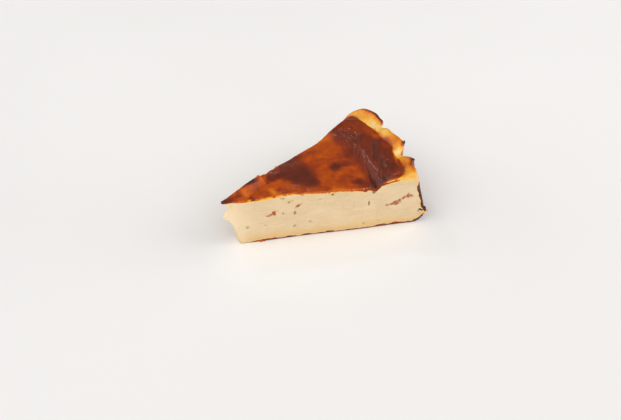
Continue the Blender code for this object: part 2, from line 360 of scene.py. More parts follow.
def acrossSlice(radius, z, v):
    # how far a station stands from the plane of its angle: blunt tip, hollow far cut, waves of the knife
    lip, wave, far = form["lip"], form["cutWave"], np.clip(v, 0.0, 1.0)
    blunt = form["tipBluntness"] * v + lip["bluntness"] * smoothStep(z, lip["from"], lip["to"]) * far
    blunt = blunt * np.exp(-radius / form["tipBluntReach"])
    bow = np.sin(np.clip(radius / form["baseRadius"], 0.0, 1.0) * np.pi) ** 2
    hollow = form["farCutHollow"] * far**8 * bow
    return blunt - hollow + wave["height"] * v**9 * np.sin(radius * wave["along"] + z * wave["up"] + v)


relief = {
    "edgeRounding": 1.0,
    "sideRounding": 0.9,
    "footRounding": 0.5,
    "topWaves": 0.2,
    "skinGrain": 0.05,
    "wrinkles": 0.28,
    "wrinkleSlant": (0.84, 0.54),  # its cosine and sine
    "wrinkleBend": 2.0,
    "wrinkleZone": (87.0, 95.0, 107.0, 112.0),  # radii: start, full, last and end
    "crumple": {"height": 0.5, "at": (99.5, 20.0), "reach": (4.5, 9.0)},
    "topReach": 3.0,  # how deep below the skin the cuts' upper edge moves with it
    "cutDrag": 0.03,
    "cutSlabs": 0.048,
    "cutGrain": 0.03,
    "cutReach": 1.6,
    "pores": {"depth": 0.32, "size": (1.9, 1.3), "rarity": (0.66, 0.98)},
    "pitDepth": 0.42,
    "wallCrinkle": 0.3,
    "wallPleats": 0.35,
    "wallReach": 4.0,
    "tipSoftness": 0.25,
    "tipReach": 3.0,
    # bubbles that burst and left a ring: spot x, y, radius, height
    "rings": [
        (102.6, 15.8, 1.4, 0.45), (93.9, 16.3, 1.2, 0.25), (104.2, -14.2, 1.1, 0.3), (77.2, -1.5, 1.2, 0.4),
        (39.2, 9.2, 1.5, 0.35), (38.6, 11.4, 0.9, 0.25), (98.2, 17.6, 1, 0.45), (97.6, 21, 1.3, 0.35),
        (100.2, 25, 1.7, 0.4), (97, 27, 1, 0.3), (50.2, -14.2, 1, 0.25), (44.6, -7.6, 0.8, 0.2),
        (39.6, -8.7, 0.9, 0.15), (55, 13.6, 1.3, 0.15), (96.4, -18, 0.8, 0.2), (92.4, -22.4, 0.9, 0.25),
        (48.4, -12.4, 0.7, 0.15), (94.4, 10.6, 0.7, 0.15), (106.6, 10.6, 0.8, 0.15), (34.6, -3.6, 0.7, 0.1),
    ],
    "ringWidth": 0.42,
    "ringPit": 0.7,
}


def topRelief(at):
    x, y = at.x, at.y
    waves = relief["topWaves"] * roughPlane(x, y, 9.0, 21)
    skin = relief["skinGrain"] * roughPlane(x, y, 1.6, 26, 2)
    # the skin puckers in slanting ridges towards the rim
    cosine, sine = relief["wrinkleSlant"]
    across = cosine * x - sine * y + relief["wrinkleBend"] * roughPlane(x, y, 12.0, 22, 2)
    ridges = ridged(across / 3.0, (sine * x + cosine * y) / 12.0, 1.0, 23)
    zone = window(at.radius, *relief["wrinkleZone"]) * (1.0 - 0.7 * smoothStep(y, 8.0, 16.0))
    wrinkles = relief["wrinkles"] * ridges * zone
    plan = relief["crumple"]
    (cx, cy), (reachX, reachY) = plan["at"], plan["reach"]
    near = np.exp(-(((x - cx) / reachX) ** 2) - ((y - cy) / reachY) ** 4)
    crumple = plan["height"] * near * ridged(x, y, 2.6, 24)
    bubbles, pit = 0.0, relief["ringPit"]
    for cx, cy, size, height in relief["rings"]:
        away = np.hypot(x - cx, y - cy)
        bubbles = bubbles + height * np.exp(-(((away - size) / relief["ringWidth"]) ** 2))
        bubbles = bubbles - pit * height * np.exp(-((away / (pit * size)) ** 4))
    return waves + skin + wrinkles + crumple + bubbles - at.cleftDepth


# marks on the near cut by their kind: radius, height, reach along, reach up, tilt, strength
nearMarks = {
    "brown": [
        (30.8, 20, 1.1, 1.5, 10, 1), (29.5, 19.2, 1.3, 0.8, 30, 0.9), (31.4, 18.8, 0.9, 0.7, -20, 0.75),
        (27.4, 18.3, 1.4, 0.8, 25, 0.7), (32, 21.2, 0.6, 0.6, 0, 0.5), (45.5, 23.5, 2, 0.9, 38, 0.9),
        (47.4, 24.6, 0.9, 0.5, 30, 0.5), (109.2, 19.9, 1.2, 0.8, 30, 0.8), (107.4, 16.8, 0.7, 0.8, 0, 0.5),
        (42.2, 27.8, 0.8, 0.6, 0, 0.6), (66.3, 28.9, 0.9, 0.8, 0, 0.8), (36, 30.4, 1.8, 0.9, 0, 0.5),
    ],
    "red": [
        (28.6, 18, 0.7, 0.6, 0, 0.5), (112.2, 21.9, 1.1, 2, -20, 0.95), (113.4, 21.2, 1.6, 0.8, 15, 0.85),
        (111.4, 20.6, 1.2, 0.8, 40, 0.8), (115.2, 20.5, 1.4, 0.7, -15, 0.65), (99.8, 16.2, 1.8, 1, 8, 0.7),
        (102.2, 16.6, 2.4, 1.1, 15, 0.95), (104.4, 18, 2, 1, 28, 0.9), (105.2, 16.7, 2.2, 1.1, 10, 0.95),
        (103.6, 15.6, 0.8, 0.5, 0, 0.5), (98, 1.4, 1.6, 0.8, 0, 0.55), (96.6, 1.2, 1.2, 0.6, -10, 0.45),
    ],
    "olive": [
        (109.8, 20.7, 0.7, 1.2, 0, 0.7), (43.3, 18.8, 0.8, 1.2, 0, 0.65), (43.2, 8.3, 0.9, 1.4, -20, 0.5),
        (59, 26.4, 1.3, 0.6, -10, 0.4), (62, 24.6, 0.9, 0.8, 0, 0.3), (88.2, 18.6, 0.7, 1.7, 0, 0.85),
        (118.8, 6.5, 0.8, 1.2, 20, 0.4),
    ],
    "grey": [
        (106.9, 18.6, 1.2, 1.5, 20, 0.9), (109.2, 15, 0.5, 0.5, 0, 0.3), (40.3, 27.1, 0.9, 0.8, 10, 0.75),
        (39.6, 25.9, 0.7, 0.5, 0, 0.4), (33.2, 21.9, 0.9, 0.6, -20, 0.6), (36.3, 19, 0.9, 1, 0, 0.6),
        (35.8, 20.2, 0.5, 0.5, 0, 0.4), (33, 16.5, 0.5, 0.6, 0, 0.3), (43, 21.6, 0.4, 0.5, 0, 0.35),
        (14.8, 11.5, 1.2, 1.1, 0, 0.5), (25.7, 11.3, 1, 0.8, -30, 0.4), (31.6, 12.4, 0.6, 0.4, 0, 0.25),
        (45, 6, 0.8, 0.9, -40, 0.4), (52.6, 10.6, 1.5, 0.6, -30, 0.5), (76, 23, 1.1, 0.5, -40, 0.4),
        (79.4, 21.2, 1.1, 0.4, 10, 0.35), (79.2, 18.4, 0.6, 0.8, 0, 0.35), (72.2, 18.2, 0.8, 0.9, 0, 0.35),
        (64.4, 16, 1, 0.5, 30, 0.3), (91.3, 26.8, 1, 0.9, 0, 1), (85.2, 4, 1.2, 0.9, 0, 0.5),
        (92, 8, 3, 0.4, -20, 0.35), (94.4, 4.6, 1.2, 0.5, -30, 0.45), (93.6, 13.8, 0.9, 0.7, 0, 0.3),
        (91.4, 10.4, 2.4, 0.4, 5, 0.35), (96, 8.4, 1.8, 0.4, -8, 0.3), (52, 24, 0.5, 0.4, 0, 0.3),
        (58, 15.6, 1.2, 0.5, 0, 0.2), (20, 22.4, 0.6, 0.4, 0, 0.25), (70, 6, 0.9, 0.4, 0, 0.25),
        (84.4, 12, 0.6, 0.5, 0, 0.25),
    ],
}
# the far cut has a like scatter: ranges of radius and height, and the kinds in turn
farPlan = {
    "count": 26,
    "radius": (18.0, 98.0),
    "height": (3.0, 25.0),
    "reach": (0.45, 0.8),
    "kinds": ("grey", "grey", "brown", "grey", "red"),
    "seed": 12,
}


def farMarks():
    draw = np.random.default_rng(farPlan["seed"])
    (inner, spread), (foot, rise), (small, larger) = farPlan["radius"], farPlan["height"], farPlan["reach"]
    made = {kind: [] for kind in nearMarks}
    for number in range(farPlan["count"]):
        radius = inner + spread * math.sqrt(draw.random())
        reach = small + larger * draw.random() ** 2
        tilt, strength = draw.uniform(-30, 40), draw.uniform(0.3, 0.8)
        kind = farPlan["kinds"][number % len(farPlan["kinds"])]
        made[kind].append((radius, foot + rise * draw.random(), reach, 0.6 * reach, tilt, strength))
    return made


def markShare(marks, along, up, kinds):
    share = 0.0 * along
    ragged = 0.6 * roughPlane(along, up, 1.5, 31, 2)
    for kind in kinds:
        for radius, height, reachAlong, reachUp, tilt, strength in marks[kind]:
            a, b = turned(along - radius, up - height, tilt)
            edge = 1.45 - np.hypot(a / reachAlong, b / reachUp) + ragged
            share = np.maximum(share, strength * np.clip(edge, 0.0, 1.0))
    return share


def cutRelief(along, up, marks, seed):
    # positive stands out of the cut
    drag = relief["cutDrag"] * roughPlane(along / 9.0, up, 1.3, seed, 2)
    slabs = relief["cutSlabs"] * roughPlane(along / 5.0 + 0.3 * up, up, 3.4, seed + 5, 2)
    grain = relief["cutGrain"] * roughPlane(along, up, 1.2, seed + 9, 2)
    plan = relief["pores"]
    wide, high = plan["size"]
    rare = roughPlane(along / wide, up / high, 1.0, seed + 13, 1)
    pores = plan["depth"] * smoothStep(rare, *plan["rarity"])
    return drag + slabs + grain - pores - relief["pitDepth"] * markShare(marks, along, up, ("brown", "grey"))


def wallRelief(angle, z):
    arc = angle * form["arcPerDegree"]
    lean = arc + 0.12 * z + 1.2 * roughPlane(arc, z, 11.0, 41, 2)
    pleats = relief["wallPleats"] * ridged(lean / 3.1, z / 26.0, 1.0, 42, 1)
    return pleats + relief["wallCrinkle"] * roughPlane(arc, z * 0.6, 3.0, 43)


# browning runs from 0 for pale custard to 1 for burnt black
browning = {
    "top": 0.505,
    "topMottling": 0.21,
    "tipMottling": 0.09,
    "bodyMottling": 0.085,
    "bodyStart": (32.0, 44.0),
    # the paler, ragged edge along the near cut: its level by the tip, along the body and by the rim
    "edge": (0.20, 0.42, 0.28),
    "edgeReach": 0.75,
    "farEdgeShare": 0.35,
    # (x, y), reach along, reach across, turn, level that it pulls to, how far, and how flat its middle is
    "patches": [
        # brighter places
        ((66, 12), 9, 10, 0, 0.47, 0.7, 4), ((82, 18), 8, 12, 15, 0.445, 0.8, 4),
        ((73.5, 23.4), 5, 2.4, 18, 0.4, 0.7, 2), ((83, 25.6), 5, 3.4, 18, 0.41, 0.7, 2),
        ((30.4, 8.4), 2.4, 3.4, 0, 0.39, 0.8, 3), ((30.6, -5), 1.8, 4, 10, 0.35, 0.8, 3),
        ((16.6, 0.6), 1.2, 2.4, 10, 0.4, 0.7, 2), ((33.6, -11), 3, 1.6, -19, 0.33, 0.7, 2),
        ((8, 2), 4, 0.9, 15, 0.44, 0.6, 2), ((24, 0), 6, 4, 0, 0.48, 0.6, 3),
        ((78, -8), 5, 6, 0, 0.49, 0.7, 3), ((63, -12), 3.6, 6, 10, 0.47, 0.6, 3),
        ((89, -6), 3, 7, 0, 0.5, 0.6, 3), ((73, -20), 6, 4, -19, 0.5, 0.6, 3),
        ((37.6, -1.6), 3, 2.6, 0, 0.47, 0.6, 3), ((46, -12.6), 4, 3, -19, 0.45, 0.7, 2),
        ((42, -4), 2.6, 3.6, 0, 0.48, 0.6, 2),
        # darker and redder ones
        ((2, 0), 3.4, 3.2, 0, 0.78, 1, 3), ((5.6, 0.6), 3, 1.4, 10, 0.62, 0.7, 2),
        ((78.4, 11.4), 2.4, 2.6, 0, 0.5, 0.7, 2), ((76.2, 17.2), 1.6, 2.2, 0, 0.55, 0.8, 2),
        ((69.4, 19.8), 2.6, 2, 20, 0.56, 0.8, 3), ((65.8, -0.6), 2.2, 1.3, 0, 0.58, 0.7, 2),
        ((70, -10), 1.5, 5, 0, 0.6, 0.8, 2), ((61.4, -15.4), 2.2, 2.2, 0, 0.58, 0.8, 2),
        ((65, 4), 4, 4.4, 0, 0.56, 0.5, 2), ((88, 3.2), 2, 2.4, 0, 0.63, 0.8, 2),
        ((68, -3), 6, 3, 0, 0.55, 0.5, 2), ((83, -10), 1.6, 6, -12, 0.56, 0.6, 2),
        ((60, -7), 2, 5, 0, 0.56, 0.5, 2), ((82.8, -2), 4.6, 3.2, 0, 0.65, 0.9, 3),
        ((76.9, -1.4), 4, 4.2, 0, 0.72, 1, 3), ((77.6, -1.6), 2, 1.4, 0, 0.78, 0.9, 3),
        ((80.9, -20.6), 3.8, 4, 0, 0.72, 1, 3), ((83, -25.6), 4, 2.2, -19, 0.66, 0.9, 3),
        ((76, -24), 4, 1.6, -19, 0.6, 0.7, 2), ((11, 0.4), 1.8, 1.3, 0, 0.68, 0.9, 3),
        ((12.8, 2.3), 1.4, 0.9, 20, 0.6, 0.8, 2), ((17.8, -2.8), 1.6, 1.4, 0, 0.66, 0.9, 3),
        ((27.2, -4.2), 2, 1.6, 0, 0.55, 0.7, 2), ((32.3, 3.2), 1.5, 1.7, 0, 0.64, 0.9, 3),
        ((22.4, 6.7), 5, 1.9, 8, 0.92, 1, 4), ((27.2, 8.2), 1.6, 1, 15, 0.66, 0.9, 2),
        ((35.4, 5.4), 2.2, 1.8, 0, 0.62, 0.8, 2), ((39.6, -8.8), 1.8, 1.6, 20, 0.6, 0.8, 2),
        ((44.8, -7.8), 1.3, 1, 40, 0.62, 0.8, 2), ((48.2, -12.6), 1.2, 1.6, 0, 0.64, 0.8, 2),
        ((36.4, -6.4), 2.2, 1.6, 0, 0.56, 0.7, 2),
        # the big burnt patch
        ((53, 1), 12.5, 15, 0, 0.6, 0.7, 4), ((39.5, 7.4), 6.2, 4.2, 14, 0.72, 1, 4),
        ((42.2, 7.6), 1.8, 2.6, -25, 0.8, 0.8, 3), ((51.6, 13.8), 10, 3.6, 18, 0.68, 0.9, 4),
        ((52.8, 4.4), 9.6, 11, 0, 0.72, 1, 5), ((55.4, -8), 4.2, 7.4, 8, 0.72, 1, 4),
        ((46.6, 2.6), 4.2, 5, 0, 0.74, 0.9, 4), ((50.6, -8), 3, 4.6, 25, 0.67, 0.9, 3),
        ((52.6, -15.4), 3.6, 1.8, -19, 0.57, 0.8, 2), ((42.6, -11.4), 1.2, 0.8, -20, 0.6, 0.8, 2),
        ((46.6, -10), 1, 0.8, 20, 0.6, 0.8, 2), ((47, -3.4), 2.4, 1.8, 0, 0.7, 0.8, 3),
        ((58.6, -2), 2.4, 6, 0, 0.72, 0.8, 3),
    ],
    # the same by the rim, where the skin is browner all over
    "rimPatches": [
        ((104, 26), 6, 8, 0, 0.57, 0.8, 3), ((110.6, 16), 3, 7, -8, 0.53, 0.8, 3),
        ((111.6, 10), 2.4, 3.4, 0, 0.44, 0.8, 3), ((98, 27), 3.4, 4.4, 0, 0.6, 0.7, 2),
        ((96, 13.6), 3.6, 3, 0, 0.69, 0.8, 2), ((92, 12), 2.6, 4, 0, 0.63, 0.7, 2),
        ((100.6, 2), 6, 3.4, 50, 0.66, 0.8, 3), ((112, -1), 2, 5, 0, 0.58, 0.8, 3),
        ((102.2, -5.6), 2.4, 7.6, -28, 0.76, 0.9, 4), ((106, 2.4), 1.8, 4, -38, 0.75, 0.9, 3),
        ((101, -16), 2.4, 7, -26, 0.75, 0.8, 3), ((106.6, -8), 3, 6, -15, 0.68, 0.8, 3),
        ((104, -21), 4.4, 4.4, 0, 0.74, 0.8, 3), ((94.6, -28), 5, 2.6, -19, 0.77, 1, 4),
        ((95.4, -21), 3.6, 5, 0, 0.7, 0.8, 3), ((104.6, -28.6), 2.6, 3.6, -30, 0.59, 0.9, 3),
        ((107.8, -22), 1.5, 5, -10, 0.6, 0.9, 3), ((88.4, -27), 2, 3, 0, 0.7, 0.9, 3),
        ((91, -12), 1.6, 6, -8, 0.6, 0.6, 2), ((98.9, 13.2), 0.9, 2.4, 0, 0.82, 1, 2),
        ((102.4, 15.4), 1.2, 1.4, 0, 0.8, 1, 2), ((98.6, 19.6), 1.8, 5, 0, 0.7, 0.8, 2),
        ((93.8, 16.4), 1.4, 1.4, 0, 0.64, 0.8, 2), ((111.9, 28.4), 0.9, 5, 8, 0.7, 0.9, 2),
    ],
    # the browner ring inside the rim: its level, and where it starts against the angle
    "ring": 0.665,
    "ringStart": [
        (-19.1, 84), (-14, 87), (0, 88.4), (6, 89), (11, 89.5), (16, 93.5), (19.1, 95),
    ],
    # the rim's paler inner slope, against the angle: where it starts, how softly, and its level
    "bandEdge": [
        (-19.1, 105.8), (-17.5, 109.2), (-15.5, 110.6), (-13.7, 112), (-11.3, 112), (-8.9, 111.1),
        (-7.1, 111.3), (-5.7, 111.8), (-4.4, 112.4), (-3.3, 113.8), (-0.8, 115), (1.6, 114.6), (3.8, 113.9),
        (5.2, 114.8), (7.2, 115.2), (9.3, 114.8), (11.2, 114.9), (13, 115.2), (14.5, 115.6), (17, 113.6),
        (19.1, 110.6),
    ],
    "bandSoftness": [
        (-19.1, 1.6), (-16, 3), (-12, 6.5), (-9, 5.5), (-7.2, 2.8), (-5.6, 1.4), (-3, 2.4), (1, 3.8), (5, 3),
        (8, 1.6), (12, 1.1), (19.1, 1.1),
    ],
    "band": [
        (-19.1, 0.14), (-17.5, 0.21), (-16, 0.27), (-14, 0.3), (-12.6, 0.27), (-10, 0.25), (-8, 0.14),
        (-6, 0.085), (-4.4, 0.1), (-3.2, 0.24), (-1.5, 0.31), (0.5, 0.25), (2.6, 0.16), (5, 0.12),
        (7.5, 0.09), (9.5, 0.075), (12, 0.11), (14.5, 0.16), (16.5, 0.18), (19.1, 0.24),
    ],
    "bandMottling": 0.045,
    # a brown streak across that slope
    "streak": {"start": (110.4, -18.0), "end": (107.2, -29.6), "level": 0.56},
    # how dark the crest is, against the angle
    "crest": [
        (-19.1, 0.05), (-16, 0.2), (-14, 0.5), (-12, 0.8), (-9.5, 0.45), (-8, 0.1), (-6, 0), (-4.6, 0.1),
        (-3.8, 0.8), (-3.1, 0.3), (0, 0.1), (5, 0.12), (6.8, 0), (7.7, 0.2), (8.5, 0.9), (11, 0.95),
        (13, 0.7), (14.5, 0.5), (17, 0.3), (19.1, 0.1),
    ],
    "crestTan": 0.46,
    "crestDark": (0.64, 0.82),
    # painted shade: the level that the clefts are painted towards
    "cleft": 0.80,
    "wall": 0.68,
    "wallPale": 0.13,
    "upperWall": 0.14,
    "wallBlotches": 0.09,
    "wallStreaks": 0.08,
    "foldPaler": 0.24,
    "base": 0.67,
}


def pull(level, x, y, plan):
    for (cx, cy), reachAlong, reachAcross, tilt, target, share, flatness in plan:
        a, b = turned(x - cx, y - cy, tilt)
        away = (a / reachAlong) ** 2 + (b / reachAcross) ** 2
        level = toward(level, target, share * np.exp(-(away ** (flatness / 2))))
    return level


def topBrowning(at):
    x, y, radius, angle = at.x, at.y, at.radius, at.angle
    wx, wy = wandered(x, y, 1.8, 4.0, (51, 52), 4)
    mottled = browning["top"] + browning["topMottling"] * roughPlane(x, y, 6.0, 53, 4)
    level = pull(mottled, wx, wy, browning["patches"])
    body = smoothStep(radius, *browning["bodyStart"])
    level = level + browning["tipMottling"] * roughPlane(x, y, 3.2, 67) * (1.0 - body)
    level = level + browning["bodyMottling"] * roughPlane(x, y, 4.4, 68) * body
    # a browner ring inside the rim, and painted shade that darkens the clefts
    ring = pull(browning["ring"] + 0.03 * roughPlane(x, y, 4.0, 63), wx, wy, browning["rimPatches"])
    toRing = radius + 2.2 * roughPlane(x, y, 5.0, 54, 4) - smoothCurve(browning["ringStart"], angle)
    level = toward(level, ring, smoothStep(toRing, -3.5, 5.0))
    # painted shade: the clefts are painted darker
    level = toward(level, browning["cleft"], 0.85 * at.cleft)
    # along the near cut the skin's edge is paler and ragged, and by the tip only its fringe is left
    ragged = np.clip(0.6 + 1.1 * roughPlane(x, y, 2.0, 55, 2), 0.0, 1.0)
    reach = browning["edgeReach"] + 0.6 * ragged * (1.0 - smoothStep(radius, 34.0, 46.0))
    reach = reach + 0.9 * smoothStep(radius, 96.0, 101.0)
    byTip, between, byRim = browning["edge"]
    pale = toward(byTip, between, smoothStep(radius, 28.0, 60.0))
    pale = pale + (byRim - between) * smoothStep(radius, 94.0, 99.0)
    kept = smoothStep(radius, 5.0, 10.0) * (1.0 - 0.85 * np.exp(-(((radius - 89.0) / 7.0) ** 4)))
    edge = np.exp(-((at.toCut / reach) ** 3)) * ragged * kept
    level = toward(level, pale, edge * np.where(angle < 0.0, 1.0, browning["farEdgeShare"]))
    # the rim's inner slope
    start = smoothCurve(browning["bandEdge"], angle) + 0.6 * roughPlane(x, y, 2.6, 56)
    soft = smoothCurve(browning["bandSoftness"], angle)
    band = smoothCurve(browning["band"], angle + 0.8 * roughPlane(x, y, 3.0, 57, 2))
    band = band + browning["bandMottling"] * roughPlane(x, y, 2.0, 58)
    streak = browning["streak"]
    toStreak = awayFromLine(x + 0.4 * roughPlane(x, y, 3.0, 64, 2), y, streak["start"], streak["end"])[0]
    band = toward(band, streak["level"], 1.0 - smoothStep(toStreak, 0.3, 1.2))
    level = toward(level, band, smoothStep(radius, start - 0.5 * soft, start + 0.5 * soft))
    # its crest: tan, then dark at the very edge
    toCrest = crestRadius(angle) - radius + 0.5 * roughPlane(x, y, 1.6, 59, 2)
    dark = np.clip(smoothCurve(browning["crest"], angle + 0.4 * roughPlane(x, y, 2.0, 60, 2)), 0.0, 1.0)
    tanReach = 2.6 + 2.4 * window(angle, 6.8, 9.0, 15.0, 17.5)
    tan = 0.68 * (1.0 - smoothStep(toCrest, 0.4, tanReach)) * smoothStep(dark, 0.1, 0.6)
    level = toward(level, browning["crestTan"], tan)
    darkShare = dark * fade(toCrest, 0.9 + 0.8 * smoothStep(angle, 5.0, 9.0))
    return toward(level, toward(*browning["crestDark"], dark), darkShare)


def wallBrowning(angle, z):
    arc = angle * form["arcPerDegree"]
    blotch = roughPlane(arc, z, 7.0, 61)
    streak = roughPlane(arc * 2.2, z * 0.35, 5.0, 62)
    level = browning["wall"] + browning["wallBlotches"] * blotch + browning["wallStreaks"] * streak
    level = level - browning["foldPaler"] * deepFoldShare(angle) * smoothStep(z, 8.0, 28.0)
    level = level + 0.1 * (fade(z, 6.0) + smoothStep(z, 31.0, 37.0) + smoothStep(-angle, 17.5, 19.0))
    # the far flank of a fold stayed pale near the crest
    wavy = angle + 0.5 * roughPlane(arc, z, 4.0, 44, 2)
    flank = window(wavy, 6.1, 7.3, 7.8, 8.9) + window(wavy, -7.0, -5.6, -4.4, -3.3)
    level = toward(level, browning["wallPale"], flank * smoothStep(z + 4.0 * blotch, 27.0, 33.5))
    # and so did the upper wall by the near cut
    pale = smoothStep(z - 27.5 - 2.2 * (angle + form["halfAngle"]) + 2.0 * blotch, 0.0, 3.0)
    return toward(level, browning["upperWall"] + 0.016 * np.maximum(z - 28.0, 0.0), pale)


def baseBrowning(x, y):
    return browning["base"] + 0.1 * roughPlane(x, y, 6.0, 65) + 0.07 * roughPlane(x, y, 1.6, 66, 2)


# stations: (from, to, count) along the slice and up it, and a plain count across
mesh = {
    "along": [(0.0, 0.03, 10), (0.03, 0.7, 142), (0.7, 0.93, 72), (0.93, 1.0, 36)],
    "up": [(0.0, 0.06, 8), (0.06, 0.84, 46), (0.84, 0.95, 16), (0.95, 1.0, 10)],
    "across": 114,
    "baseStep": 6,
    "sharpAngle": 60.0,
}


def stations(spans):
    places = [low + (high - low) * i / count for low, high, count in spans for i in range(count)]
    return np.array(places + [spans[-1][1]])


def sliceGrid():
    # the shell of a box of stations as faces, and the shares of each vertex along, across and up
    along, up = stations(mesh["along"]), stations(mesh["up"])
    across = np.linspace(-1.0, 1.0, mesh["across"] + 1)
    nu, nv, nw = len(along), len(across), len(up)
    iu, jv, kw = np.arange(nu), np.arange(nv), np.arange(nw)
    quads = []

    def key(i, j, k):
        return (i * nv + j) * nw + k

    def side(grid, flipped):
        quad = np.stack([grid[:-1, :-1], grid[1:, :-1], grid[1:, 1:], grid[:-1, 1:]], axis=-1).reshape(-1, 4)
        quads.append(quad[:, ::-1] if flipped else quad)

    side(key(iu[:, None], jv[None, :], nw - 1), False)
    side(key(iu[:, None], 0, kw[None, :]), False)
    side(key(iu[:, None], nv - 1, kw[None, :]), True)
    side(key(nu - 1, jv[:, None], kw[None, :]), False)
    side(key(0, jv[:, None], kw[None, :]), True)
    # the flat base has wider cells, which join the fine ones at its two ends
    step = mesh["baseStep"]
    side(key(iu[1:-1, None], jv[None, ::step], 0), True)
    wide = []
    for edge, inner, flipped in ((0, 1, False), (nu - 1, nu - 2, True)):
        for j in range(0, nv - 1, step):
            ring = [key(inner, j, 0), key(inner, j + step, 0)]
            ring = ring + [key(edge, j + s, 0) for s in range(step, -1, -1)]
            wide.append(ring if flipped else ring[::-1])
    fine = np.concatenate(quads)
    used = np.unique(np.concatenate([fine.ravel(), np.array(sum(wide, []))]))
    number = np.zeros(nu * nv * nw, np.int64)
    number[used] = np.arange(len(used))
    faces = [tuple(number[face].tolist()) for face in fine.tolist() + wide]
    return faces, along[used // (nw * nv)], across[(used // nw) % nv], up[used % nw]


def placeStations():
    # each vertex on the plain form, and its distances from the form's edges
    faces, u, v, w = sliceGrid()
    radius, z = section(u, v, w)
    angle = v * form["halfAngle"]
    side = acrossSlice(radius, z, v)
    x, y = spot(radius, angle)
    at = SimpleNamespace(v=v, radius=radius, angle=angle, z=z, side=side, x=x, y=y + side)
    at.onTop, at.onWall, at.onBase = (w == 1.0) & (u < 1.0), (u == 1.0) & (w < 1.0), w == 0.0
    at.onCut = (np.abs(v) == 1.0) | (u == 0.0)
    at.toNear = radius * np.sin(np.radians(form["halfAngle"] + angle))
    at.toFar = radius * np.sin(np.radians(form["halfAngle"] - angle))
    at.toCut = np.minimum(at.toNear, at.toFar)
    at.below = np.where(w == 1.0, 0.0, np.maximum(topHeight(radius, angle) - z, 0.0))
    at.toTip = np.where(u == 0.0, 0.0, np.maximum(radius - tipRadius(z, v), 0.0))
    # at its foot the wall is a quarter round
    foot = form["baseRounding"]
    toWall = np.where(u == 1.0, 0.0, np.maximum(wallRadius(angle, np.maximum(z, foot)) - radius, 0.0))
    toRound = foot - np.hypot(np.maximum(foot - toWall, 0.0), foot - np.minimum(z, foot))
    inFoot = (u < 1.0) & (toWall < foot) & (z < foot)
    at.toWall = np.where(inFoot, np.maximum(toRound, 0.0), toWall)
    at.cleft, at.cleftDepth = cleftShape(at.x, at.y)
    return faces, at


def roundOff(first, second, reach):
    # how far both sides of an edge draw in, near it
    near = np.clip(1.0 - first / reach, 0.0, 1.0) * np.clip(1.0 - second / reach, 0.0, 1.0)
    return 0.29 * reach * near**2


def shapedPoints(at, marksFar):
    lift = topRelief(at) * fade(at.below, relief["topReach"])
    lift = lift * (1.0 - 0.7 * fade(crestRadius(at.angle) - at.radius, 1.5))
    ragged = relief["edgeRounding"] * (1.0 + 0.45 * rough(at.x, at.y, at.z, 2.2, 71, 2))
    topEdge = roundOff(at.below, at.toCut, ragged)
    sideEdge = roundOff(at.toWall, at.toCut, relief["sideRounding"])
    footEdge = roundOff(at.z, at.toCut, relief["footRounding"])
    calm = 1.0 - 0.5 * fade(at.toTip, 2.0)
    nearOut = cutRelief(at.radius, at.z, nearMarks, 81) * fade(at.toNear, relief["cutReach"]) * calm
    farOut = cutRelief(at.radius, at.z, marksFar, 101) * fade(at.toFar, relief["cutReach"]) * calm
    cutOut = np.where(at.v < 0, -nearOut, farOut) - np.sign(at.v) * (topEdge + sideEdge + footEdge)
    wallOut = wallRelief(at.angle, at.z) * fade(at.toWall, relief["wallReach"])
    wallOut = wallOut * (1.0 - 0.5 * fade(at.below, 1.5))
    tipIn = relief["tipSoftness"] * rough(0.0 * at.x, at.y, at.z, 3.5, 91)
    tipIn = tipIn * fade(at.toTip, relief["tipReach"])
    x, y = spot(at.radius + wallOut - sideEdge - tipIn, at.angle)
    z = np.where(at.onBase, 0.0, at.z + lift - topEdge + footEdge)
    return np.stack([x, y + at.side + cutOut, np.maximum(z, 0.0)], axis=1)


skinPlan = {
    # thickness of the browned skin where a cut shows it, against the radius
    "thickness": [
        (0, 0.5), (20, 0.4), (46, 0.55), (60, 0.95), (76, 1.2), (82, 1.9), (88, 2.2), (93, 1), (99, 1.3),
        (104, 1.5), (107, 2.2), (110, 5), (113, 6.5), (125, 7),
    ],
    "wallThickness": (0.25, 1.45),
    "baseThickness": (0.15, 0.35),
    "blend": 0.4,
    # radii between which it fades into the custard under the rim, and its pale fringe ends
    "underRim": (104.5, 109.0),
    "fringeEnd": (104.0, 108.0),
    "wallFringe": 0.35,
    # where the custard is painted paler by the tip, as painted light shining through the thin tip, and
    # browner at its foot
    "tip": (1.0, 21.0),
    "foot": (1.0, 9.0),
    "zoneShare": 0.9,
    "inCrease": (0.1, 0.8),  # depths of a crease between which its skin turns dull
    # a painted sheen on the burnt patch, a grey reflection painted into the colour: its place, its reach, and
    # the share of it along the rim's crumpled ring
    "paintedSheen": {"at": (51.0, 13.5), "reach": (8.0, 4.5), "ring": 101.0, "ringShare": 0.15},
    # places where a pinkish highlight is painted on the skin: x, y, reach along x and y
    "pinkHighlight": [
        (44.0, -8.5, 4.5, 2.6), (51.5, -14.5, 3.0, 1.8), (41.0, 9.5, 2.4, 1.6), (100.0, -29.8, 4.0, 1.3),
        (34.5, -9.0, 3.0, 1.5),
    ],
}


def rindDepths(at):
    # how far a point lies beyond the browned skin of the top, of the wall and of the base
    radius, z, whichCut = at.radius, at.z, at.v * 9.0
    top = smoothCurve(skinPlan["thickness"], radius) * (1.0 + 0.4 * roughPlane(radius, whichCut, 2.2, 72))
    thin, thick = skinPlan["wallThickness"]
    pleat = roughPlane(z, whichCut, 2.0, 75, 2)
    wall = thin + (thick + 0.8 * pleat) * (1.0 - 0.92 * smoothStep(z + 0.8 * pleat, 27.0, 29.0))
    wall = wall + 0.9 * (1.0 - smoothStep(z, 3.0, 9.0))
    thin, thick = skinPlan["baseThickness"]
    patchy = np.clip(0.5 + 1.2 * roughPlane(radius, whichCut, 5.0, 73), 0.0, 1.0)
    base = thin + (thick + 0.85 * patchy) * smoothStep(radius, 12.0, 20.0)
    base = base + 0.5 * smoothStep(radius, 84.0, 100.0)
    return np.stack([at.below - top, at.toWall - wall, z - base])


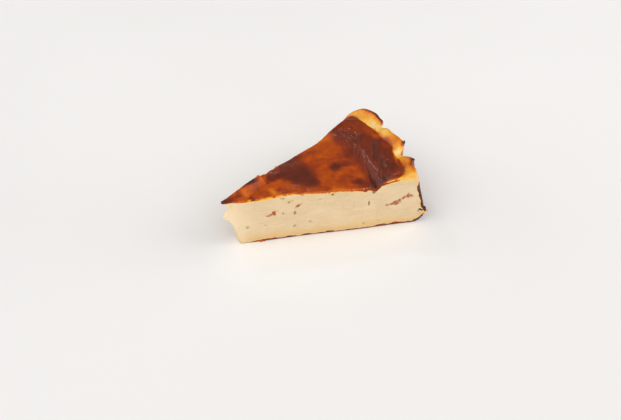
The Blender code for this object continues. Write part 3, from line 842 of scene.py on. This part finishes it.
def bakeLevel(at, rinds):
    top, wall = topBrowning(at), wallBrowning(at.angle, at.z)
    browns = np.stack([top, wall, baseBrowning(at.x, at.y)])
    nearest = np.exp(-(((rinds - rinds.min(axis=0)) / skinPlan["blend"]) ** 2))
    inside = (browns * nearest).sum(axis=0) / nearest.sum(axis=0)
    depth = smoothStep(at.below / (3.0 + 4.5 * smoothStep(at.radius, 108.0, 115.0)), 0.05, 1.0)
    deep = smoothStep(at.radius, *skinPlan["underRim"]) * depth * (rinds.argmin(axis=0) == 0)
    inside = inside * (1.0 - deep)
    # the crest carries the top's colour over to the wall's
    wall = toward(wall, top, at.overCrest)
    return np.where(at.onTop, top, np.where(at.onWall, wall, inside))


# painted sheen: how much grey reflection is painted on the burnt patch and along the rim's crumpled ring
def paintedSheenShare(at):
    plan = skinPlan["paintedSheen"]
    (cx, cy), (reachX, reachY) = plan["at"], plan["reach"]
    drift = 2.5 * roughPlane(at.x, at.y, 6.0, 76, 2)
    paintedSheen = mound((at.x - cx) / reachX, (at.y - cy + 0.3 * drift) / reachY)
    toRing = np.abs(at.radius - plan["ring"] + 0.12 * np.abs(at.angle) + drift)
    paintedSheen = paintedSheen + plan["ringShare"] * fade(toRing, 4.5) * window(at.angle, -15.0, -9.0, 14.0, 18.0)
    return np.clip(paintedSheen * (1.0 - at.cleft), 0.0, 1.0)


def addObject(name, data):
    made = bpy.data.objects.new(name, data)
    bpy.context.scene.collection.objects.link(made)
    return made


def addValues(body, name, values):
    layer = body.attributes.new(name, "FLOAT", "POINT")
    layer.data.foreach_set("value", np.asarray(values, np.float32))


def makeSlice():
    faces, at = placeStations()
    plain = np.stack([at.x, at.y, at.z])
    middle = (plain.min(axis=1) + plain.max(axis=1)) / 2
    middle[2] = 0.0

    print("shaping the skin, the cuts and the wall")
    marksFar = farMarks()
    points = shapedPoints(at, marksFar)

    print("browning it")
    at.overCrest = smoothStep(at.z, rimHeight(at.angle) - 2.4, rimHeight(at.angle) - 0.2)
    rinds = rindDepths(at)
    topNearest = rinds.argmin(axis=0) == 0
    foot = at.z + 1.5 * rough(at.x, at.y, at.z, 7.0, 77, 2)
    # painted highlight: where pinkish highlights are painted on the skin
    pinkHighlight = sum(mound((at.x - cx) / wide, (at.y - cy) / deep) for cx, cy, wide, deep in skinPlan["pinkHighlight"])

    def marked(*kinds):
        near, far = (markShare(marks, at.radius, at.z, kinds) for marks in (nearMarks, marksFar))
        return np.where(at.v > 0, far, near) * at.onCut

    body = bpy.data.meshes.new("cheesecake")
    body.from_pydata(((points - middle) * mm).tolist(), [], faces)
    body.validate()
    body.update()
    addValues(body, "bake", bakeLevel(at, rinds))
    outside = at.onTop | at.onWall | at.onBase
    addValues(body, "rind", np.where(outside, -1.0, np.minimum(rinds.min(axis=0), 20.0)))
    fringe = 1.0 - smoothStep(at.radius, *skinPlan["fringeEnd"])
    addValues(body, "fringe", np.where(topNearest, fringe, skinPlan["wallFringe"]))
    # painted light: the share of paler custard by the thin tip, as if lit through
    addValues(body, "pale", skinPlan["zoneShare"] * (1.0 - smoothStep(at.radius, *skinPlan["tip"])))
    addValues(body, "foot", skinPlan["zoneShare"] * (1.0 - smoothStep(foot, *skinPlan["foot"])))
    inCrease = smoothStep(creaseDepth(at.x, at.y), *skinPlan["inCrease"])
    addValues(body, "dull", np.where(at.onTop, inCrease, np.where(at.onWall, 1.0 - at.overCrest, 1.0)))
    # the share of painted sheen, a grey reflection painted on the skin
    addValues(body, "paintedSheen", paintedSheenShare(at))
    addValues(body, "pinkHighlight", np.clip(pinkHighlight, 0.0, 1.0))
    addValues(body, "fleck", marked("brown", "red"))
    addValues(body, "redness", marked("red"))
    addValues(body, "shade", marked("grey", "olive"))
    body.shade_smooth()
    body.set_sharp_from_angle(angle=math.radians(mesh["sharpAngle"]))
    print(f"  {len(faces)} faces, box {np.round(np.ptp(points, axis=0), 1)} mm")
    return addObject("cheesecake", body), middle


def paint(red, green, blue):
    # sRGB 0-255 to what a shader wants
    shares = (c / 255 for c in (red, green, blue))
    return tuple(c / 12.92 if c <= 0.04045 else ((c + 0.055) / 1.055) ** 2.4 for c in shares) + (1.0,)


class Wire:
    # wraps a socket, so that shader maths reads as plain sums
    def __init__(self, tree, socket=None):
        self.tree, self.socket = tree, socket

    def node(self, kind, settings=None, inputs=None, out=0):
        made = self.tree.nodes.new(kind)
        for name, value in (settings or {}).items():
            if name == "stops":
                for i, (place, colour) in enumerate(value):
                    stop = made.color_ramp.elements[i] if i < 2 else made.color_ramp.elements.new(place)
                    stop.position, stop.color = place, colour
            else:
                setattr(made, name, value)
        for name, value in (inputs or {}).items():
            if isinstance(value, Wire):
                self.tree.links.new(value.socket, made.inputs[name])
            else:
                made.inputs[name].default_value = value
        return Wire(self.tree, made.outputs[out])

    def math(self, operation, *values):
        return self.node("ShaderNodeMath", {"operation": operation}, dict(enumerate(values)))

    def __add__(self, other):
        return self.math("ADD", self, other)

    def __sub__(self, other):
        return self.math("SUBTRACT", self, other)

    def __rsub__(self, other):
        return self.math("SUBTRACT", other, self)

    def __mul__(self, other):
        return self.math("MULTIPLY", self, other)

    __radd__, __rmul__ = __add__, __mul__

    def between(self, low, high):
        settings = {"interpolation_type": "SMOOTHSTEP"}
        return self.node("ShaderNodeMapRange", settings, {"Value": self, "From Min": low, "From Max": high})

    def mix(self, first, second):
        settings = {"data_type": "RGBA", "clamp_factor": True}
        return self.node("ShaderNodeMix", settings, {"Factor": self, 6: first, 7: second}, out=2)

    def ramp(self, stops):
        return self.node("ShaderNodeValToRGB", {"stops": stops}, {"Fac": self})

    def noise(self, size, detail=2.0, stretch=(1.0, 1.0, 1.0), roughness=0.5):
        # self is a place; size is in millimetres
        scale = tuple(s / mm / size for s in stretch)
        scaled = self.node("ShaderNodeVectorMath", {"operation": "MULTIPLY"}, {0: self, 1: scale})
        inputs = {"Vector": scaled, "Scale": 1.0, "Detail": detail, "Roughness": roughness}
        return self.node("ShaderNodeTexNoise", {}, inputs)

    def attribute(self, name):
        return self.node("ShaderNodeAttribute", {"attribute_name": name}, out=2)


def startMaterial(name):
    material = bpy.data.materials.new(name)
    material.use_nodes = True
    material.node_tree.nodes.clear()
    wire = Wire(material.node_tree)
    return material, wire, wire.node("ShaderNodeTexCoord", out=3)


def finishMaterial(wire, sockets, heights, distance):
    bump = wire.node("ShaderNodeBump", {}, {"Height": heights, "Distance": distance * mm, "Strength": 1.0})
    shader = wire.node("ShaderNodeBsdfPrincipled", {}, {**sockets, "Normal": bump})
    end = wire.tree.nodes.new("ShaderNodeOutputMaterial")
    wire.tree.links.new(shader.socket, end.inputs["Surface"])


browningColours = [
    (0.00, paint(231, 206, 162)),
    (0.08, paint(243, 204, 122)),
    (0.15, paint(241, 182, 72)),
    (0.22, paint(235, 158, 42)),
    (0.33, paint(213, 116, 18)),
    (0.44, paint(185, 80, 10)),
    (0.52, paint(166, 66, 15)),
    (0.60, paint(136, 51, 19)),
    (0.68, paint(110, 43, 23)),
    (0.76, paint(91, 40, 25)),
    (0.86, paint(62, 31, 20)),
    (1.00, paint(28, 15, 10)),
]

cheesecakeFinish = {
    "custardLight": paint(228, 202, 162),
    "custardDeep": paint(221, 193, 151),
    "custardDrag": paint(241, 220, 184),
    # painted light: custard by the thin tip, painted paler as if light shone through it
    "custardTipGlow": paint(246, 222, 184),
    "custardFoot": paint(221, 185, 124),
    # painted shade: the darker custard colour inside the pores
    "poreShade": paint(196, 164, 112),
    # painted sheen: the grey colour of a reflection painted on the skin
    "paintedSheen": paint(128, 80, 66),
    # painted highlight: the pinkish colour of highlights painted on the skin
    "pinkHighlight": paint(190, 100, 70),
    "fleckBrown": paint(172, 84, 12),
    "fleckRed": paint(174, 100, 66),
    "speck": paint(152, 112, 60),
    # how strongly each of them shows at its most
    "dragShare": 0.35,
    "poreShadeAndDepth": 0.22,
    "paintedSheenShare": 0.5,
    "pinkHighlightShare": 0.75,
    "fringe": 0.13,
    "skinRoughness": 0.33,
    "dullRoughness": 0.17,
    "custardRoughness": 0.5,
    "wetness": 0.2,
    "bumps": 0.22,
    "lightDepth": 1.6,
}


def cheesecakeMaterial():
    look = cheesecakeFinish
    material, wire, place = startMaterial("bakedCustard")
    bake, rind, dull, paintedSheen, pinkHighlight = (wire.attribute(name) for name in ("bake", "rind", "dull", "paintedSheen", "pinkHighlight"))
    fleck, redness, shade = (wire.attribute(name) for name in ("fleck", "redness", "shade"))

    # where the skin ends inside a cut, with a pale yellow fringe behind it
    jag = place.noise(0.9, 3.0) - 0.5
    skin = 1.0 - (rind + jag * 0.9).between(-0.2, 0.25)
    fringe = (1.0 - (rind + jag * 1.4).between(0.0, 1.3)) * wire.attribute("fringe") * look["fringe"]
    mottle = (place.noise(2.6, 4.0, roughness=0.6) - 0.5) * 0.11 + (place.noise(0.55) - 0.5) * 0.05
    level = skin * (bake + mottle) + (1.0 - skin) * fringe

    cloud = place.noise(14.0, 3.0, stretch=(1.0, 1.0, 1.6)).between(0.2, 0.8)
    custard = cloud.mix(look["custardDeep"], look["custardLight"])
    drag = place.noise(1.6, stretch=(0.2, 0.2, 1.0)).between(0.4, 0.8) * look["dragShare"]
    custard = drag.mix(custard, look["custardDrag"])
    custard = wire.attribute("foot").mix(custard, look["custardFoot"])
    # painted light: the custard by the thin tip is painted paler, as if light shone through it
    custard = wire.attribute("pale").mix(custard, look["custardTipGlow"])
    colour = level.between(0.0, 0.1).mix(custard, level.ramp(browningColours))

    # painted sheen: a grey reflection painted into the skin's colour
    paintedSheen = paintedSheen * skin * place.noise(3.0, 3.0).between(0.25, 0.7) * look["paintedSheenShare"]
    colour = paintedSheen.mix(colour, look["paintedSheen"])
    # painted highlight: pinkish highlights painted into the skin's colour
    pinkHighlight = pinkHighlight * skin * place.noise(1.3).between(0.35, 0.65) * look["pinkHighlightShare"]
    colour = pinkHighlight.mix(colour, look["pinkHighlight"])
    colour = (shade * (0.6 + place.noise(0.5) * 0.6)).between(0.1, 0.7).mix(colour, look["speck"])
    stain = redness.between(0.0, 0.4).mix(look["fleckBrown"], look["fleckRed"])
    colour = (fleck * (0.3 + place.noise(0.55, 3.0) * 1.4)).between(0.15, 0.85).mix(colour, stain)
    # painted shade: the custard is painted darker inside its pores, which the bumps also sink
    pores = place.noise(0.7, 0.0).between(0.70, 0.80) * (1.0 - skin) * look["poreShadeAndDepth"]
    colour = pores.mix(colour, look["poreShade"])

    gloss = look["skinRoughness"] + dull * look["dullRoughness"] + (place.noise(1.8, 3.0) - 0.5) * 0.18
    roughness = gloss * skin + (1.0 - skin) * (look["custardRoughness"] + (place.noise(0.8) - 0.5) * 0.1)

    skinBumps = place.noise(0.8, 3.0) * 0.5 + place.noise(2.4) * 0.8
    custardBumps = place.noise(0.45, 3.0) * 0.4 + place.noise(1.1, stretch=(0.35, 0.35, 1.0)) * 0.5 - pores
    finishMaterial(wire, {
        "Base Color": colour,
        "Roughness": roughness,
        "Subsurface Weight": 0.12,
        "Subsurface Radius": (1.0, 0.55, 0.28),
        "Subsurface Scale": look["lightDepth"] * mm,
        "IOR": 1.42,
        "Specular IOR Level": 0.45,
        "Coat Weight": level.between(0.35, 0.6) * (1.0 - dull) * look["wetness"],
        "Coat Roughness": 0.14,
    }, skin * skinBumps + (1.0 - skin) * custardBumps, look["bumps"])
    return material


print("the slice")
cake, middle = makeSlice()
cake.data.materials.append(cheesecakeMaterial())
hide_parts("cheesecake_slice")
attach(cake, "root")

crumbs = {
    # radius, angle, height, three sizes, turn, lean, browning
    "flakes": [
        (121, -3.75, 36.7, (1.3, 0.35, 1.5), 35, 25, 0.84), (121.5, -3.3, 36, (1, 0.3, 1.2), 10, -20, 0.72),
        (120, -19.05, 9.9, (1.2, 0.5, 1.1), 0, 30, 0.98), (121.2, -19.05, 9.2, (1.2, 0.5, 0.8), 0, -25, 0.93),
        (118.9, -19.05, 8.8, (0.8, 0.4, 0.7), 0, 10, 0.9), (122.7, -18.9, 10.2, (1, 0.8, 1.2), 0, 20, 0.9),
        (121.6, -19.15, 7.1, (2.3, 0.5, 0.75), 0, -14, 0.14),
        (123.6, -18.9, 7.8, (1.3, 0.7, 0.6), -20, -10, 0.24),
        (120.9, -18.95, 6.4, (0.9, 0.4, 0.5), 0, 35, 0.2), (121.3, -18.95, 4.8, (0.8, 0.5, 1.2), 0, 0, 0.82),
        (119.9, -18.96, 3.4, (1, 0.4, 0.7), 0, 40, 0.76), (119, -12.4, 37.4, (0.6, 1.1, 0.5), 10, 20, 0.84),
    ],
    "underEdge": [
        (23, -20.2, 0.5, (1.1, 0.6, 0.5), 0, 0, 0.45), (25, -19.8, 0.35, (0.7, 0.45, 0.35), 20, 0, 0.5),
        (21.6, -20, 0.3, (0.5, 0.35, 0.3), 50, 0, 0.35),
    ],
    # thin flakes where the skin tore along the near cut, placed by their depth below the top
    "torn": [
        (97.4, 0.5, (1.4, 0.3, 0.35), 4, -16, 0.62), (99.6, 0.9, (1.7, 0.32, 0.3), -4, -12, 0.66),
        (102, 1, (1.3, 0.3, 0.28), 3, -6, 0.6), (100.4, 0.1, (1.5, 0.4, 0.3), 0, -14, 0.16),
        (102.8, 0.2, (1.1, 0.35, 0.3), 6, -5, 0.1), (104.6, 1.1, (0.8, 0.3, 0.25), 0, 10, 0.5),
        (87.2, 0.5, (0.8, 0.35, 0.3), 0, 10, 0.36), (85, 0.6, (0.9, 0.35, 0.3), 10, -10, 0.3),
        (79, 0.4, (0.9, 0.3, 0.3), 0, 8, 0.34), (61.4, 0.6, (0.8, 0.3, 0.35), 0, 20, 0.4),
        (47.4, 0.6, (0.9, 0.35, 0.3), 0, -20, 0.32), (38.2, 0.5, (0.8, 0.3, 0.3), 0, 15, 0.36),
    ],
    # fine ones along the two top edges, in turn around these radii, where the skin is ragged
    "edgeCount": 70,
    "edgeRadii": (36.0, 62.0, 82.0, 100.0, 55.0),
    "edgeSpread": 6.0,
    "edgeInset": 0.5,
    "edgeBelow": (0.35, 1.4),
    "edgeSize": (0.18, 0.42),
    "edgeLevels": (0.25, 0.62),
    "roughness": 0.42,
    "dentSize": 1.1,
    "point": 0.5,
    "seed": 5,
}


def rowPlace(radius, angle, z):
    x, y = spot(radius, angle)
    return Vector((x - middle[0], y - middle[1], z)) * mm


def edgePlace(radius, angle, below):
    top = topHeight(np.array([radius]), np.array([angle]))[0]
    return rowPlace(radius, angle, top - below)


def addCrumb(parts, centre, sizes, turn, lean, level, point=0.0):
    # an icosphere that is dented by noise, tapered and flattened
    ball = bmesh.new()
    bmesh.ops.create_icosphere(ball, subdivisions=3, radius=1.0)
    co = np.array([vert.co for vert in ball.verts])
    sides = [[vert.index for vert in face.verts] for face in ball.faces]
    ball.free()
    dents = rough(co[:, 0] + 3.7 * parts["count"], co[:, 1], co[:, 2], crumbs["dentSize"], 300)
    co[:, :2] *= 1.0 - point * co[:, 2:]
    co = co * (1.0 + crumbs["roughness"] * dents)[:, None] * np.array(sizes)
    co = co @ np.array(Matrix.Rotation(turn, 3, "Z") @ Matrix.Rotation(lean, 3, "Y")).T
    start = len(parts["points"])
    parts["points"].extend((co * mm + np.array(centre)).tolist())
    parts["faces"].extend([[i + start for i in side] for side in sides])
    parts["levels"].extend([level] * len(co))
    parts["count"] += 1


def makeCrumbs():
    parts = {"points": [], "faces": [], "levels": [], "count": 0}
    draw = np.random.default_rng(crumbs["seed"])
    for radius, angle, z, sizes, turn, lean, level in crumbs["flakes"] + crumbs["underEdge"]:
        turns = math.radians(turn + angle), math.radians(lean)
        addCrumb(parts, rowPlace(radius, angle, z), sizes, *turns, level, crumbs["point"])
    nearCut = 0.1 - form["halfAngle"]
    for radius, below, sizes, turn, lean, level in crumbs["torn"]:
        turns = math.radians(turn + nearCut), math.radians(lean)
        addCrumb(parts, edgePlace(radius, nearCut, below), sizes, *turns, level)
    spots, (above, spread) = crumbs["edgeRadii"], crumbs["edgeBelow"]
    for number in range(crumbs["edgeCount"]):
        radius = spots[number % len(spots)] + draw.normal(0.0, crumbs["edgeSpread"])
        # one in five lies on the far edge
        side = -1 if number % 5 else 1
        angle = side * (form["halfAngle"] - math.degrees(draw.uniform(0.0, crumbs["edgeInset"]) / radius))
        size = draw.uniform(*crumbs["edgeSize"])
        sizes = (size * draw.uniform(1.0, 2.0), size, size * draw.uniform(0.5, 1.0))
        centre = edgePlace(radius, angle, above + draw.random() ** 2 * spread)
        turns = draw.uniform(0.0, 3.1), draw.uniform(-0.6, 0.6)
        addCrumb(parts, centre, sizes, *turns, draw.uniform(*crumbs["edgeLevels"]))
    body = bpy.data.meshes.new("crumbs")
    body.from_pydata(parts["points"], [], parts["faces"])
    body.update()
    addValues(body, "bake", parts["levels"])
    body.shade_smooth()
    return addObject("crumbs", body)


def crumbMaterial():
    material, wire, place = startMaterial("burntCrumb")
    level = wire.attribute("bake") + (place.noise(0.8, 3.0) - 0.5) * 0.25
    roughness = 0.5 + (place.noise(0.6) - 0.5) * 0.2
    sockets = {"Base Color": level.ramp(browningColours), "Roughness": roughness, "IOR": 1.42}
    finishMaterial(wire, sockets, place.noise(0.4, 3.0), 0.15)
    return material


print("crumbs and flakes")
bits = makeCrumbs()
bits.data.materials.append(crumbMaterial())
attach(bits, "root")

studio = {
    # in metres
    "floor": 4.0,
    "floorBelow": 0.0001,
    "floorColour": paint(246, 244, 242),
    "floorShade": paint(240, 238, 236),
    "world": 0.72,
    "dimmed": 0.10,
    "dimmest": (0.378, 0.671, 0.637),  # the side of the room that the glossy top mirrors is darker
    "dimSpread": (0.44, 0.87),
    "lightAim": (0.0, 0.0, 0.02),
    "lights": {
        "key": {"at": (-1.7, -0.5, 2.8), "size": 3.6, "power": 36.0, "colour": (1.0, 0.988, 0.97)},
        "side": {"at": (2.1, -0.9, 1.3), "size": 2.4, "power": 34.0, "colour": (1.0, 0.995, 0.985)},
        "front": {"at": (-0.2, -2.6, 1.5), "size": 1.6, "power": 10.0, "colour": (1.0, 0.99, 0.975)},
        "back": {"at": (-2.0, 1.9, 0.5), "size": 1.8, "power": 12.0, "colour": (1.0, 0.995, 0.985)},
        "glint": {"at": (-0.35, 1.9, 1.9), "size": 0.2, "power": 5.0, "colour": (1.0, 1.0, 1.0)},
    },
}


def makeFloor():
    half = studio["floor"] / 2
    corners = [(-half, -half, 0), (half, -half, 0), (half, half, 0), (-half, half, 0)]
    flat = bpy.data.meshes.new("floor")
    flat.from_pydata(corners, [], [(0, 1, 2, 3)])
    made = addObject("floor", flat)
    made.location.z = -studio["floorBelow"]
    material, wire, place = startMaterial("paleFloor")
    tone = place.noise(400.0).between(0.2, 0.8).mix(studio["floorColour"], studio["floorShade"])
    finishMaterial(wire, {"Base Color": tone, "Roughness": 0.7}, place.noise(40.0, 1.0), 0.01)
    flat.materials.append(material)
    return made


def makeWorld():
    world = bpy.data.worlds.new("studio")
    bpy.context.scene.world = world
    world.use_nodes = True
    sky = Wire(world.node_tree)
    background = world.node_tree.nodes["Background"]
    background.inputs["Color"].default_value = (1.0, 1.0, 1.0, 1.0)
    directions = {0: sky.node("ShaderNodeTexCoord"), 1: studio["dimmest"]}
    facing = sky.node("ShaderNodeVectorMath", {"operation": "DOT_PRODUCT"}, directions, out=1)
    strength = studio["world"] - facing.between(*studio["dimSpread"]) * (studio["world"] - studio["dimmed"])
    world.node_tree.links.new(strength.socket, background.inputs["Strength"])


def softLight(name, plan):
    lamp = bpy.data.lights.new(name, "AREA")
    lamp.size, lamp.energy, lamp.color = plan["size"], plan["power"], plan["colour"]
    holder = addObject(name, lamp)
    holder.location = plan["at"]
    away = Vector(studio["lightAim"]) - Vector(plan["at"])
    holder.rotation_euler = away.to_track_quat("-Z", "Y").to_euler()


print("floor, light and camera")
floor = makeFloor()
makeWorld()
for name, plan in studio["lights"].items():
    softLight(name, plan)

view = {
    # in millimetres, from the middle of the cake
    "from": (-241.3, -534.0, 509.9),
    "to": (61.34, 3.01, 0.0),
    "lens": 75.36,
    "sensor": 36.0,
    "nearest": 10.0,
    "roll": 0.3,
}
eye, aim = (Vector(view[end]) - Vector(middle) for end in ("from", "to"))
camera = addObject("camera", bpy.data.cameras.new("camera"))
camera.data.lens = view["lens"]
camera.data.sensor_width = view["sensor"]
camera.data.clip_start = view["nearest"] * mm
roll = Matrix.Rotation(math.radians(-view["roll"]), 3, "Z")
turn = (aim - eye).to_track_quat("-Z", "Y").to_matrix() @ roll
camera.matrix_world = Matrix.Translation(eye * mm) @ turn.to_4x4()
bpy.context.scene.camera = camera
bpy.context.scene.view_settings.view_transform = "Standard"

print("done")
